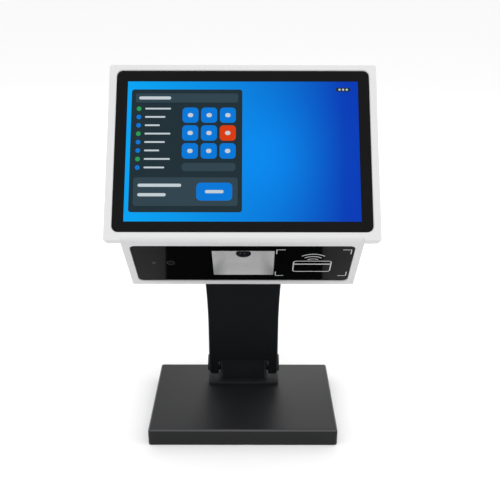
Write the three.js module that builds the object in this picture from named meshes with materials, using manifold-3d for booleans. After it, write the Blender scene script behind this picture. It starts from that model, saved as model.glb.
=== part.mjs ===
// Desktop self checkout kiosk: a touch screen head with a scan and card panel in its chin,
// a tilting steel column and a weighted base. Millimetres, +Z up, the customer stands at -Y.
import * as THREE from 'three';
import { mergeVertices } from 'three/addons/utils/BufferGeometryUtils.js';
import Module from 'manifold-3d';

const wasm = await Module();
wasm.setup();

// Fits
const gap = 0.3;
const boltClearance = 0.3;
const over = 1;

// Display and cover glass
const displayWidth = 216.96;
const displayHeight = 135.6;
const lcdBorderSide = 6.3;
const lcdBorderEnd = 6.75;
const lcdThickness = 4.6;
const lcdClearance = 0.6;
const glassWidth = 238;
const glassHeight = 155.9;
const glassRise = 0.54;
const glassThickness = 3;
const glassCorner = 5.5;
const glassRecess = 0.5;

// Front frame of the housing
const borderSide = 7.5;
const borderTop = 6.5;
const borderBottom = 8.7;
const frameDepth = 14;
const frameCorner = 2.5;
const frontEdgeRadius = 1.2;
const rearEdgeRadius = 3;
const frameWall = 2.5;
const mouthChamfer = 0.8;
const ledgeThickness = 2;

// Wedge body behind the frame
const bodyWidth = 222;
const chinLength = 87.9;
const chinSlope = 19;
const chinBend = 6;
const bodyEdgeRadius = 1.2;
const bodyTopInset = 12;
const bodyTopDepth = 24;
const wall = 2;
const coverThickness = 2;

// Scan and card panel in the chin
const panelWidth = 207.9;
const panelStart = 9.2;
const panelHeight = 69.9;
const panelThickness = 3;
const panelRecess = 1;
const panelCorner = 5;
const panelLedge = 4;
const windowWidth = 59.2;
const windowMarginFront = 10.7;
const windowMarginRear = 10.8;
const windowX = 0.55;
const rowDrop = 34;
const hoodDepth = 11.9;
const hoodTaperSide = 11;
const hoodTaperEnd = 7.3;
const hoodWall = 1.6;
const hoodRim = 0.5;
const hoodBlend = 3;
const hoodFlange = 3.4;
const scanLensRadius = 7.2;
const scanLensReach = 0.3;
const engineWidth = 34;
const engineHeight = 26;
const engineDepth = 14;
const cameraX = -69;
const cameraRadius = 3.2;
const cameraRingWall = 0.5;
const cameraBoardWidth = 20;
const cameraBoardHeight = 14;
const cameraBody = 9;
const cameraBodyDepth = 5;
const cameraRecess = 1.6;
const sensorX = -85.3;
const sensorRadius = 2.3;
const sensorBody = 9;
const sensorRecess = 1.1;
const cardX = 66.65;
const cardBoardWidth = 60;
const cardBoardHeight = 50;
const cardChip = 12;
const chipThickness = 1.5;
const boardThickness = 1.6;

// Electronics behind the display
const trayWidth = 214;
const trayHeight = 128;
const trayThickness = 1.2;
const trayRise = 4;
const standoffRadius = 3;
const standoffLength = 6;
const mainboardWidth = 150;
const mainboardHeight = 100;
const boardCorner = 6;
const portBlockWidth = 40;
const portBlockHeight = 10;
const portBlockDepth = 7;
const sinkSize = 56;
const sinkBase = 3;
const sinkHeight = 11;
const sinkFins = 9;
const finThickness = 1.6;
const speakerWidth = 50;
const speakerHeight = 32;
const speakerDepth = 9;
const speakerX = 72;
const speakerZ = 74;
const coneRadius = 11;
const coneDepth = 3;
const grilleCount = 5;
const grilleHeight = 20;

// Sockets, power button and vents in the rear cover
const socketZ = 26;
const inletX = 56;
const inletRadius = 4.6;
const usbX = [76, 96];
const usbWidth = 13.2;
const usbHeight = 6.2;
const usbShell = 0.8;
const usbTongueWidth = 9;
const usbTongue = 1.9;
const inletBore = 3.1;
const inletPin = 1.1;
const socketRim = 2;
const socketFlange = 1;
const socketDepth = 13;
const socketBore = 9;
const buttonX = -78;
const buttonRadius = 5.5;
const buttonProud = 1.6;
const buttonTravel = 1.2;
const buttonFlange = 1.4;
const buttonRim = 1.5;
const switchSize = 11;
const switchDepth = 5;
const switchWing = 24;
const switchPost = 1.6;
const ventCount = 9;
const ventWidth = 2.4;
const ventHeight = 26;
const ventPitch = 6;
const ventZ = 150;

// Head hinge, seen from the rear cover's lower edge
const headLean = 33.9;
const hingeStandoff = 12.74;
const hingeRise = 27.27;
const headBracketHalf = 26;
const headBracketReach = 16;
const bracketScrewX = 17;
const bracketScrewRise = 11;
const bracketScrewRadius = 2;
const bracketScrewHead = 1.8;
const bracketScrewHeadRadius = 3.6;
const bracketScrewTail = 4;

// Column
const columnWidth = 73.4;
const columnFlare = 2;
const flareStart = 52;
const columnSheet = 2;
const columnFront = 16;
const earRadius = 9;
const axisSpacing = 127;
const webTopDrop = 22;
const notchWidth = 53.4;
const notchRise = 13;
const reliefRadius = 1.3;
const reliefDrop = 3;
const legCorner = 5;
const legLift = 4.9;
const foldRadius = 2.4;
const columnCoverRise = 17;
const columnCoverDrop = 16;
const columnCoverInset = 0.4;
const columnCoverThickness = 1.5;
const flareSteps = 8;

// Hinge hardware
const boltRadius = 4;
const boltHeadRadius = 9;
const boltHead = 1.5;
const boltTip = 7;
const bushRadius = 8;
const washerRadius = 9;
const washerThickness = 1.5;
const nutRadius = 6.5;
const nutThickness = 5;
const keyRadius = 3;
const keyDepth = 0.9;

// Foot bracket and plate
const footHalf = 24.9;
const bracketFold = 2.2;
const bracketSheet = 2;
const bracketFront = 8.5;
const bracketRear = 12;
const bracketWebRise = 10;
const footPlateWidth = 75;
const footPlateFront = 16.8;
const footPlateRear = 19;
const footPlateThickness = 2;
const footPlateCorner = 1.5;
const pivotRise = 16.7;

// Base
const baseWidth = 186.8;
const baseDepth = 120.2;
const baseHeight = 17.8;
const baseRear = 23.2;
const baseCorner = 2.5;
const baseEdgeRadius = 2.2;
const baseSheet = 2;
const rimLift = 0.5;
const weightInset = 8;
const weightThickness = 10;
const bottomPlateThickness = 1.5;
const padRadius = 8;
const padThickness = 1.5;
const padInset = 14;
const footScrewRadius = 2.4;
const footScrewHeadRadius = 4.5;
const footScrewHead = 3;
const footScrewX = 30;
const footScrewFront = 11;
const footScrewBlind = 0.6;
const footScrewRear = 13;

// Round parts
const roundSteps = 24;
const hexagon = 6;
const cornerSteps = 5;

const radians = THREE.MathUtils.degToRad;

// Solids and cuts
function solid(geometry) {
  const bare = geometry.clone();
  bare.deleteAttribute('normal');
  bare.deleteAttribute('uv');
  const merged = mergeVertices(bare, 1e-4);
  const vertProperties = new Float32Array(merged.attributes.position.array);
  const triVerts = new Uint32Array(merged.index.array);
  return new wasm.Manifold(new wasm.Mesh({ numProp: 3, vertProperties, triVerts }));
}

function shaped(body) {
  const mesh = body.getMesh();
  const geometry = new THREE.BufferGeometry();
  geometry.setAttribute('position', new THREE.BufferAttribute(new Float32Array(mesh.vertProperties), 3));
  geometry.setIndex(new THREE.BufferAttribute(new Uint32Array(mesh.triVerts), 1));
  geometry.computeVertexNormals();
  return geometry;
}

function block(x0, x1, y0, y1, z0, z1) {
  const geometry = new THREE.BoxGeometry(x1 - x0, y1 - y0, z1 - z0);
  return geometry.translate((x0 + x1) / 2, (y0 + y1) / 2, (z0 + z1) / 2);
}

// A flat outline in X and Z, drawn out from y0 to y1
function slab(outline, y0, y1) {
  const geometry = new THREE.ExtrudeGeometry(outline, {
    depth: y1 - y0,
    bevelEnabled: false,
    curveSegments: cornerSteps,
  });
  return geometry.rotateX(Math.PI / 2).translate(0, y1, 0);
}

// A flat outline in Y and Z, drawn out from x0 to x1
function prism(outline, x0, x1) {
  const geometry = new THREE.ExtrudeGeometry(outline, {
    depth: x1 - x0,
    bevelEnabled: false,
    curveSegments: cornerSteps,
  });
  const turn = new THREE.Matrix4().makeBasis(
    new THREE.Vector3(0, 1, 0),
    new THREE.Vector3(0, 0, 1),
    new THREE.Vector3(1, 0, 0),
  );
  return geometry.applyMatrix4(turn).translate(x0, 0, 0);
}

function roundX(radius, x0, x1, y, z, steps = roundSteps) {
  const geometry = new THREE.CylinderGeometry(radius, radius, x1 - x0, steps);
  return geometry.rotateZ(Math.PI / 2).translate((x0 + x1) / 2, y, z);
}

function roundY(radius, y0, y1, x, z, steps = roundSteps) {
  return new THREE.CylinderGeometry(radius, radius, y1 - y0, steps).translate(x, (y0 + y1) / 2, z);
}

function roundZ(radius, z0, z1, x, y, steps = roundSteps) {
  return new THREE.CylinderGeometry(radius, radius, z1 - z0, steps)
    .rotateX(Math.PI / 2)
    .translate(x, y, (z0 + z1) / 2);
}

function cut(body, ...tools) {
  return tools.reduce((left, tool) => left.subtract(solid(tool)), solid(body));
}

function join(body, ...others) {
  return others.reduce((sum, other) => sum.add(solid(other)), solid(body));
}

// Corner points of a rounded rectangle centred at cx, cz
function ring(width, height, corner, cx = 0, cz = 0) {
  const points = [];
  const centres = [[1, 1, 0], [-1, 1, 90], [-1, -1, 180], [1, -1, 270]];
  for (const [sx, sz, start] of centres) {
    for (let i = 0; i <= cornerSteps; i += 1) {
      const angle = radians(start + (90 * i) / cornerSteps);
      points.push(new THREE.Vector2(
        cx + sx * (width / 2 - corner) + corner * Math.cos(angle),
        cz + sz * (height / 2 - corner) + corner * Math.sin(angle),
      ));
    }
  }
  return points;
}

function roundedShape(width, height, corner, cx = 0, cz = 0) {
  return new THREE.Shape(ring(width, height, corner, cx, cz));
}

// A closed skin over rings of equal count; place turns a ring point and its level into a position
function skin(rings, levels, place) {
  const count = rings[0].length;
  const positions = [];
  rings.forEach((points, level) => {
    points.forEach((point) => positions.push(...place(point, levels[level])));
  });
  const faces = [];
  for (let level = 0; level < rings.length - 1; level += 1) {
    for (let i = 0; i < count; i += 1) {
      const a = level * count + i;
      const b = level * count + ((i + 1) % count);
      faces.push(a, b, b + count, a, b + count, a + count);
    }
  }
  const last = (rings.length - 1) * count;
  const flip = THREE.ShapeUtils.isClockWise(rings[0]);
  for (const [first, points] of [[0, rings[0]], [last, rings.at(-1)]]) {
    for (const [a, b, c] of THREE.ShapeUtils.triangulateShape(points, [])) {
      const inOrder = flip === (first === 0);
      faces.push(first + a, first + (inOrder ? b : c), first + (inOrder ? c : b));
    }
  }
  const geometry = new THREE.BufferGeometry();
  geometry.setAttribute('position', new THREE.Float32BufferAttribute(positions, 3));
  geometry.setIndex(faces);
  return geometry;
}

const materials = {
  white: new THREE.MeshStandardMaterial({ color: 0xe9e9eb, roughness: 0.45, metalness: 0 }),
  glass: new THREE.MeshStandardMaterial({ color: 0x141416, roughness: 0.08, metalness: 0 }),
  gloss: new THREE.MeshStandardMaterial({ color: 0x08090b, roughness: 0.06, metalness: 0 }),
  hood: new THREE.MeshStandardMaterial({ color: 0xb4b4b6, roughness: 0.6, metalness: 0 }),
  black: new THREE.MeshStandardMaterial({ color: 0x17181a, roughness: 0.6, metalness: 0 }),
  steel: new THREE.MeshStandardMaterial({ color: 0x9fa2a6, roughness: 0.4, metalness: 1 }),
  darkSteel: new THREE.MeshStandardMaterial({ color: 0x3d3e40, roughness: 0.45, metalness: 1 }),
  board: new THREE.MeshStandardMaterial({ color: 0x1f5a3a, roughness: 0.6, metalness: 0 }),
  plastic: new THREE.MeshStandardMaterial({ color: 0x1c1d1f, roughness: 0.5, metalness: 0 }),
  aluminium: new THREE.MeshStandardMaterial({ color: 0xb9bcc0, roughness: 0.35, metalness: 1 }),
  rubber: new THREE.MeshStandardMaterial({ color: 0x1a1a1a, roughness: 0.9, metalness: 0 }),
  lens: new THREE.MeshStandardMaterial({ color: 0x050507, roughness: 0.04, metalness: 0 }),
};

function piece(parent, name, geometry, material) {
  const mesh = new THREE.Mesh(geometry, material);
  mesh.name = name;
  parent.add(mesh);
}

// Places worked out from the driving sizes. The head's own frame has its origin at the display's
// centre on the front face, with +Y into the head and +Z up along the screen
const lcdWidth = displayWidth + 2 * lcdBorderSide;
const lcdHeight = displayHeight + 2 * lcdBorderEnd;
const frameWidth = glassWidth + 2 * borderSide;
const frameTop = glassHeight / 2 + glassRise + borderTop;
const frameBottom = glassRise - glassHeight / 2 - borderBottom;
const frameMiddle = (frameTop + frameBottom) / 2;
const frameHeight = frameTop - frameBottom;
const glassBack = glassRecess + glassThickness;
const faceThickness = glassBack + gap + ledgeThickness;
const chinWall = panelRecess + panelThickness + gap + ledgeThickness;
const slope = radians(chinSlope);
const bodyTop = frameTop - bodyTopInset;
const chinDirection = new THREE.Vector2(Math.cos(slope), -Math.sin(slope));
const chinInward = new THREE.Vector2(Math.sin(slope), Math.cos(slope));

function chinPoint(along, depth) {
  return new THREE.Vector2(0, frameBottom)
    .addScaledVector(chinDirection, along)
    .addScaledVector(chinInward, depth);
}

const rearBottom = chinPoint(chinLength, 0);
const rearTop = new THREE.Vector2(bodyTopDepth, bodyTop);
const rearLength = rearBottom.distanceTo(rearTop);
const rearTilt = Math.atan2(rearBottom.x - rearTop.x, rearTop.y - rearBottom.y);

// Nested groups: base, column, head, and the chin's and rear cover's own frames
const kiosk = new THREE.Group();
const stand = new THREE.Group();
const head = new THREE.Group();
const chin = new THREE.Group();
const rear = new THREE.Group();
const pivotHeight = baseHeight + pivotRise;
const headAxisHeight = pivotHeight + axisSpacing;

chin.position.set(0, 0, frameBottom);
chin.rotation.x = Math.PI / 2 - slope;
rear.position.set(0, rearBottom.x, rearBottom.y);
rear.rotation.x = rearTilt;
head.rotation.x = -radians(headLean);
chin.updateMatrix();
rear.updateMatrix();
const hingeInHead = new THREE.Vector3(0, hingeStandoff, hingeRise).applyMatrix4(rear.matrix);
head.position.copy(hingeInHead).applyEuler(head.rotation).negate();
head.position.z += headAxisHeight;
head.add(chin, rear);
stand.add(head);
kiosk.add(stand);

// A corner of a side outline, rounded by a radius
function roundCorner(path, before, corner, after, radius) {
  const inward = before.clone().sub(corner).normalize();
  const outward = after.clone().sub(corner).normalize();
  const half = inward.angleTo(outward) / 2;
  const reach = radius / Math.tan(half);
  const start = corner.clone().addScaledVector(inward, reach);
  const end = corner.clone().addScaledVector(outward, reach);
  const centre = corner.clone().add(
    inward.clone().add(outward).normalize().multiplyScalar(radius / Math.sin(half)),
  );
  const first = Math.atan2(start.y - centre.y, start.x - centre.x);
  let turn = Math.atan2(end.y - centre.y, end.x - centre.x) - first;
  turn -= 2 * Math.PI * Math.round(turn / (2 * Math.PI));
  for (let i = 0; i <= cornerSteps; i += 1) {
    const angle = first + (turn * i) / cornerSteps;
    path.push(new THREE.Vector2(
      centre.x + radius * Math.cos(angle),
      centre.y + radius * Math.sin(angle),
    ));
  }
}

// Housing: front frame, bent chin and side cheeks, moulded as one piece
function housing() {
  const fillet = [];
  const levels = [];
  for (let i = 0; i <= cornerSteps; i += 1) {
    const angle = (Math.PI / 2) * (i / cornerSteps);
    fillet.push(frontEdgeRadius * (1 - Math.sin(angle)));
    levels.push(frontEdgeRadius * (1 - Math.cos(angle)));
  }
  for (let i = 0; i <= cornerSteps; i += 1) {
    const angle = (Math.PI / 2) * (i / cornerSteps);
    fillet.push(rearEdgeRadius * (1 - Math.cos(angle)));
    levels.push(frameDepth - rearEdgeRadius * (1 - Math.sin(angle)));
  }
  const rings = fillet.map((inset) => ring(
    frameWidth - 2 * inset,
    frameHeight - 2 * inset,
    frameCorner,
    0,
    frameMiddle,
  ).reverse());
  const frameBlock = skin(rings, levels, (point, level) => [point.x, level, point.y]);

  const bendReach = chinBend * Math.tan((Math.PI / 2 - slope) / 2);
  const half = bodyWidth / 2;
  const bendCut = block(-half, half, -over, frameDepth + over, frameBottom - over, frameBottom + bendReach);
  const front = new THREE.Vector2(0, frameBottom + 2 * bendReach);
  const side = [
    new THREE.Vector2(ledgeThickness, bodyTop),
    new THREE.Vector2(ledgeThickness, front.y),
    front,
  ];
  roundCorner(side, front, chinPoint(0, 0), rearBottom, chinBend);
  roundCorner(side, chinPoint(0, 0), rearBottom, rearTop, bodyEdgeRadius);
  roundCorner(side, rearBottom, rearTop, side[0], bodyEdgeRadius);
  const body = prism(new THREE.Shape(side), -half, half);

  const pocketWidth = glassWidth + 2 * gap;
  const pocketHeight = glassHeight + 2 * gap;
  const pocketCorner = glassCorner + gap;
  const pocket = slab(
    roundedShape(pocketWidth, pocketHeight, pocketCorner, 0, glassRise),
    -over,
    glassBack + gap,
  );
  const mouthRings = [mouthChamfer + over, 0].map((grow) => ring(
    pocketWidth + 2 * grow,
    pocketHeight + 2 * grow,
    pocketCorner + grow,
    0,
    glassRise,
  ).reverse());
  const mouth = skin(mouthRings, [-over, mouthChamfer], (point, level) => [point.x, level, point.y]);
  const lcdOpening = block(
    -lcdWidth / 2 - lcdClearance,
    lcdWidth / 2 + lcdClearance,
    glassBack,
    faceThickness + over,
    -lcdHeight / 2 - lcdClearance,
    lcdHeight / 2 + lcdClearance,
  );
  const frameCavity = block(
    -frameWidth / 2 + frameWall,
    frameWidth / 2 - frameWall,
    faceThickness,
    frameDepth - wall,
    frameBottom + frameWall + bendReach,
    frameTop - frameWall,
  );
  const deep = chinPoint(chinLength * 2, chinWall);
  const floorStart = chinPoint((faceThickness - chinWall * chinInward.x) / chinDirection.x, chinWall);
  const bodyCavity = prism(
    new THREE.Shape([
      floorStart,
      deep,
      new THREE.Vector2(deep.x, bodyTop - wall),
      new THREE.Vector2(faceThickness, bodyTop - wall),
    ]),
    -half + wall,
    half - wall,
  );

  const middle = -panelStart - panelHeight / 2;
  const panelPocket = slab(
    roundedShape(panelWidth + 2 * gap, panelHeight + 2 * gap, panelCorner + gap, 0, middle),
    -over,
    panelRecess + panelThickness + gap,
  ).applyMatrix4(chin.matrix);
  const panelOpening = slab(
    roundedShape(panelWidth - 2 * panelLedge, panelHeight - 2 * panelLedge, panelCorner, 0, middle),
    0,
    chinWall + over,
  ).applyMatrix4(chin.matrix);
  const shell = solid(frameBlock).subtract(solid(bendCut)).add(solid(body));
  return [pocket, mouth, lcdOpening, frameCavity, bodyCavity, panelPocket, panelOpening]
    .reduce((left, tool) => left.subtract(solid(tool)), shell);
}

// Cover glass, display module and the tray that carries the electronics
function displayPieces() {
  const glass = roundedShape(glassWidth, glassHeight, glassCorner, 0, glassRise);
  piece(head, 'cover_glass', slab(glass, glassRecess, glassBack), materials.glass);
  const lcdFront = glassBack + gap;
  const lcdBack = lcdFront + lcdThickness;
  piece(
    head,
    'lcd_panel',
    block(-lcdWidth / 2, lcdWidth / 2, lcdFront, lcdBack, -lcdHeight / 2, lcdHeight / 2),
    materials.steel,
  );

  const trayFront = lcdBack + gap;
  const trayBack = trayFront + trayThickness;
  const boardFront = trayBack + standoffLength + gap;
  const boardBack = boardFront + boardThickness;
  const posts = [];
  for (const x of [-1, 1]) {
    for (const z of [-1, 1]) {
      posts.push(roundY(
        standoffRadius,
        trayBack - gap,
        boardFront - gap,
        x * (mainboardWidth / 2 - boardCorner),
        z * (mainboardHeight / 2 - boardCorner),
        roundSteps / 2,
      ));
    }
  }
  const tray = block(
    -trayWidth / 2,
    trayWidth / 2,
    trayFront,
    trayBack,
    trayRise - trayHeight / 2,
    trayRise + trayHeight / 2,
  );
  piece(head, 'panel_tray', shaped(join(tray, ...posts)), materials.steel);

  const board = block(
    -mainboardWidth / 2,
    mainboardWidth / 2,
    boardFront,
    boardBack,
    -mainboardHeight / 2,
    mainboardHeight / 2,
  );
  const ports = [-1, 1].map((side) => block(
    side * (mainboardWidth / 2 - portBlockWidth / 2 - boardCorner) - portBlockWidth / 2,
    side * (mainboardWidth / 2 - portBlockWidth / 2 - boardCorner) + portBlockWidth / 2,
    boardBack - gap,
    boardBack + portBlockDepth,
    -mainboardHeight / 2,
    -mainboardHeight / 2 + portBlockHeight,
  ));
  piece(head, 'mainboard', shaped(join(board, ...ports)), materials.board);

  const sinkFront = boardBack + gap;
  const finPitch = (sinkSize - finThickness) / (sinkFins - 1);
  const fins = [];
  for (let i = 0; i < sinkFins; i += 1) {
    const x = -sinkSize / 2 + i * finPitch;
    fins.push(block(
      x,
      x + finThickness,
      sinkFront + sinkBase - gap,
      sinkFront + sinkHeight,
      -sinkSize / 2,
      sinkSize / 2,
    ));
  }
  const base = block(
    -sinkSize / 2,
    sinkSize / 2,
    sinkFront,
    sinkFront + sinkBase,
    -sinkSize / 2,
    sinkSize / 2,
  );
  piece(head, 'heat_sink', shaped(join(base, ...fins)), materials.aluminium);
}

// Gloss panel of the chin and the scanner, camera, sensor and card antenna behind it
function chinPieces() {
  const middle = -panelStart - panelHeight / 2;
  const row = -panelStart - rowDrop;
  const windowHeight = panelHeight - windowMarginFront - windowMarginRear;
  const windowMiddle = -panelStart - windowMarginFront - windowHeight / 2;
  const back = panelRecess + panelThickness;
  const behind = back + gap;
  const ringOuter = cameraRadius + gap + cameraRingWall;
  const panel = cut(
    slab(roundedShape(panelWidth, panelHeight, panelCorner, 0, middle), panelRecess, back),
    block(
      windowX - windowWidth / 2,
      windowX + windowWidth / 2,
      -over,
      behind,
      windowMiddle - windowHeight / 2,
      windowMiddle + windowHeight / 2,
    ),
    roundY(ringOuter + gap, -over, behind, cameraX, row),
    roundY(sensorRadius + gap, -over, behind, sensorX, row),
  );
  piece(chin, 'scanner_panel', shaped(panel), materials.gloss);

  // Rings of the hood's funnel, each at a depth, grown by a wall and blended into the back
  const hoodFront = panelRecess + gap;
  const funnel = (grow, depths) => skin(
    depths.map(([, share, inset]) => ring(
      windowWidth - 2 * gap - 2 * hoodRim + 2 * grow - 2 * hoodTaperSide * share - 2 * inset,
      windowHeight - 2 * gap - 2 * hoodRim + 2 * grow - 2 * hoodTaperEnd * share - 2 * inset,
      gap + hoodBlend * share,
      windowX,
      windowMiddle,
    ).reverse()),
    depths.map(([depth]) => depth),
    (point, level) => [point.x, level, point.y],
  );
  const shareAt = (depth) => (depth - hoodFront) / (hoodDepth - hoodFront);
  const blended = [[hoodFront - over, 0, 0], [hoodFront, 0, 0]];
  for (let i = 0; i <= cornerSteps; i += 1) {
    const angle = (Math.PI / 2) * (i / cornerSteps);
    const depth = hoodDepth - hoodBlend * (1 - Math.sin(angle));
    blended.push([depth, shareAt(depth), hoodBlend * (1 - Math.cos(angle)) / 2]);
  }
  const hoodBack = hoodDepth + hoodWall;
  const collar = block(
    windowX - windowWidth / 2 + gap,
    windowX + windowWidth / 2 - gap,
    hoodFront,
    behind + hoodWall,
    windowMiddle - windowHeight / 2 + gap,
    windowMiddle + windowHeight / 2 - gap,
  );
  const flange = block(
    windowX - windowWidth / 2 - hoodFlange,
    windowX + windowWidth / 2 + hoodFlange,
    behind,
    behind + hoodWall,
    windowMiddle - windowHeight / 2 - hoodFlange,
    windowMiddle + windowHeight / 2 + hoodFlange,
  );
  const outside = funnel(hoodWall, [[behind, shareAt(behind), 0], [hoodBack, 1, 0]]);
  const hood = join(collar, flange, outside)
    .subtract(solid(funnel(0, blended)))
    .subtract(solid(roundY(scanLensRadius + gap, 0, hoodBack + over, windowX, windowMiddle)));
  piece(chin, 'scan_hood', shaped(hood), materials.hood);

  const engineFront = hoodBack + gap;
  piece(
    chin,
    'scan_lens',
    roundY(scanLensRadius, hoodDepth - scanLensReach, engineFront, windowX, windowMiddle),
    materials.lens,
  );
  piece(
    chin,
    'scan_engine',
    block(
      windowX - engineWidth / 2,
      windowX + engineWidth / 2,
      engineFront + gap,
      engineFront + gap + engineDepth,
      windowMiddle - engineHeight / 2,
      windowMiddle + engineHeight / 2,
    ),
    materials.plastic,
  );

  const trim = cut(
    roundY(ringOuter, panelRecess, back, cameraX, row),
    roundY(cameraRadius + gap, -over, behind, cameraX, row),
  );
  piece(chin, 'camera_ring', shaped(trim), materials.plastic);
  const bodyBack = behind + gap + cameraBodyDepth;
  const camera = join(
    roundY(cameraRadius, cameraRecess, behind + 2 * gap, cameraX, row),
    block(
      cameraX - cameraBody / 2,
      cameraX + cameraBody / 2,
      behind + gap,
      bodyBack,
      row - cameraBody / 2,
      row + cameraBody / 2,
    ),
    block(
      cameraX - cameraBoardWidth / 2,
      cameraX + cameraBoardWidth / 2,
      bodyBack - gap,
      bodyBack + boardThickness,
      row - cameraBoardHeight / 2,
      row + cameraBoardHeight / 2,
    ),
  );
  piece(chin, 'camera_module', shaped(camera), materials.lens);
  const sensor = join(
    roundY(sensorRadius, sensorRecess, behind + 2 * gap, sensorX, row),
    block(
      sensorX - sensorBody / 2,
      sensorX + sensorBody / 2,
      behind + gap,
      bodyBack,
      row - sensorBody / 2,
      row + sensorBody / 2,
    ),
  );
  piece(chin, 'presence_sensor', shaped(sensor), materials.plastic);

  const antenna = join(
    block(
      cardX - cardBoardWidth / 2,
      cardX + cardBoardWidth / 2,
      behind + gap,
      behind + gap + boardThickness,
      row - cardBoardHeight / 2,
      row + cardBoardHeight / 2,
    ),
    block(
      cardX - cardChip / 2,
      cardX + cardChip / 2,
      behind + boardThickness,
      behind + gap + boardThickness + chipThickness,
      row - cardChip / 2,
      row + cardChip / 2,
    ),
  );
  piece(chin, 'card_antenna_board', shaped(antenna), materials.board);
}

// Rear cover with vents, speakers, sockets and the power button
function rearPieces() {
  const wallDirection = rearTop.clone().sub(rearBottom).normalize();
  const chinSine = Math.abs(chinDirection.cross(wallDirection));
  const chinCosine = Math.abs(chinDirection.dot(wallDirection));
  const low = chinWall / chinSine + (coverThickness * chinCosine) / chinSine + gap;
  const high = rearLength - wall / wallDirection.y - gap;
  const half = bodyWidth / 2 - wall - gap;
  const slot = (x, width, height, z) => block(
    x - width / 2,
    x + width / 2,
    -coverThickness - over,
    over,
    z - height / 2,
    z + height / 2,
  );
  const openings = [];
  for (let i = 0; i < ventCount; i += 1) {
    openings.push(slot((i - (ventCount - 1) / 2) * ventPitch, ventWidth, ventHeight, ventZ));
  }
  for (const side of [-1, 1]) {
    for (let i = 0; i < grilleCount; i += 1) {
      const x = side * speakerX + (i - (grilleCount - 1) / 2) * ventPitch;
      openings.push(slot(x, ventWidth, grilleHeight, speakerZ));
    }
  }
  openings.push(roundY(inletRadius + gap, -coverThickness - over, over, inletX, socketZ));
  usbX.forEach((x) => openings.push(slot(x, usbWidth + 2 * gap, usbHeight + 2 * gap, socketZ)));
  openings.push(roundY(buttonRadius + gap, -coverThickness - over, over, buttonX, socketZ));
  for (const x of [-1, 1]) {
    for (const z of [-1, 1]) {
      openings.push(roundY(
        bracketScrewRadius + gap,
        -coverThickness - over,
        over,
        x * bracketScrewX,
        hingeRise + z * bracketScrewRise,
        roundSteps / 2,
      ));
    }
  }
  const cover = cut(block(-half, half, -coverThickness, 0, low, high), ...openings);
  piece(rear, 'rear_cover', shaped(cover), materials.white);

  const inside = -coverThickness - gap;
  for (const [name, side] of [['speaker_left', -1], ['speaker_right', 1]]) {
    const frame = block(
      side * speakerX - speakerWidth / 2,
      side * speakerX + speakerWidth / 2,
      inside - speakerDepth,
      inside,
      speakerZ - speakerHeight / 2,
      speakerZ + speakerHeight / 2,
    );
    const cone = roundY(coneRadius, inside - coneDepth, inside + over, side * speakerX, speakerZ);
    piece(rear, name, shaped(cut(frame, cone)), materials.plastic);
  }

  const inlet = join(
    roundY(inletRadius, -socketDepth, gap + socketFlange, inletX, socketZ),
    roundY(inletRadius + socketRim, gap, gap + socketFlange, inletX, socketZ),
  ).subtract(solid(roundY(inletBore, -socketBore, gap + 2 * socketFlange, inletX, socketZ)))
    .add(solid(roundY(inletPin, -socketBore - over, 0, inletX, socketZ, roundSteps / 2)));
  piece(rear, 'dc_inlet', shaped(inlet), materials.plastic);
  usbX.forEach((x, index) => {
    const boxed = (width, height, y0, y1) => block(
      x - width / 2,
      x + width / 2,
      y0,
      y1,
      socketZ - height / 2,
      socketZ + height / 2,
    );
    const socket = join(
      boxed(usbWidth, usbHeight, -socketDepth, gap + socketFlange),
      boxed(usbWidth + 2 * socketRim, usbHeight + 2 * socketRim, gap, gap + socketFlange),
    ).subtract(solid(boxed(
      usbWidth - 2 * usbShell,
      usbHeight - 2 * usbShell,
      -socketBore,
      gap + 2 * socketFlange,
    ))).add(solid(boxed(usbTongueWidth, usbTongue, -socketBore - over, 0)));
    piece(rear, `usb_socket_${index + 1}`, shaped(socket), materials.steel);
  });

  const flangeBack = inside - buttonFlange;
  const button = join(
    roundY(buttonRadius, flangeBack, buttonProud, buttonX, socketZ),
    roundY(buttonRadius + buttonRim, flangeBack, inside, buttonX, socketZ),
  );
  piece(rear, 'power_button', shaped(button), materials.plastic);
  const switchFront = flangeBack - buttonTravel - gap;
  const post = (side) => roundY(
    switchPost,
    switchFront - switchPost,
    inside,
    buttonX + side * (switchWing / 2 - switchPost),
    socketZ,
    roundSteps / 2,
  );
  const switchBody = join(
    block(
      buttonX - switchSize / 2,
      buttonX + switchSize / 2,
      switchFront - switchDepth,
      switchFront,
      socketZ - switchSize / 2,
      socketZ + switchSize / 2,
    ),
    block(
      buttonX - switchWing / 2,
      buttonX + switchWing / 2,
      switchFront - 2 * switchPost,
      switchFront - switchPost / 2,
      socketZ - switchPost,
      socketZ + switchPost,
    ),
    post(-1),
    post(1),
  );
  piece(rear, 'power_switch', shaped(switchBody), materials.board);
}

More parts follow.
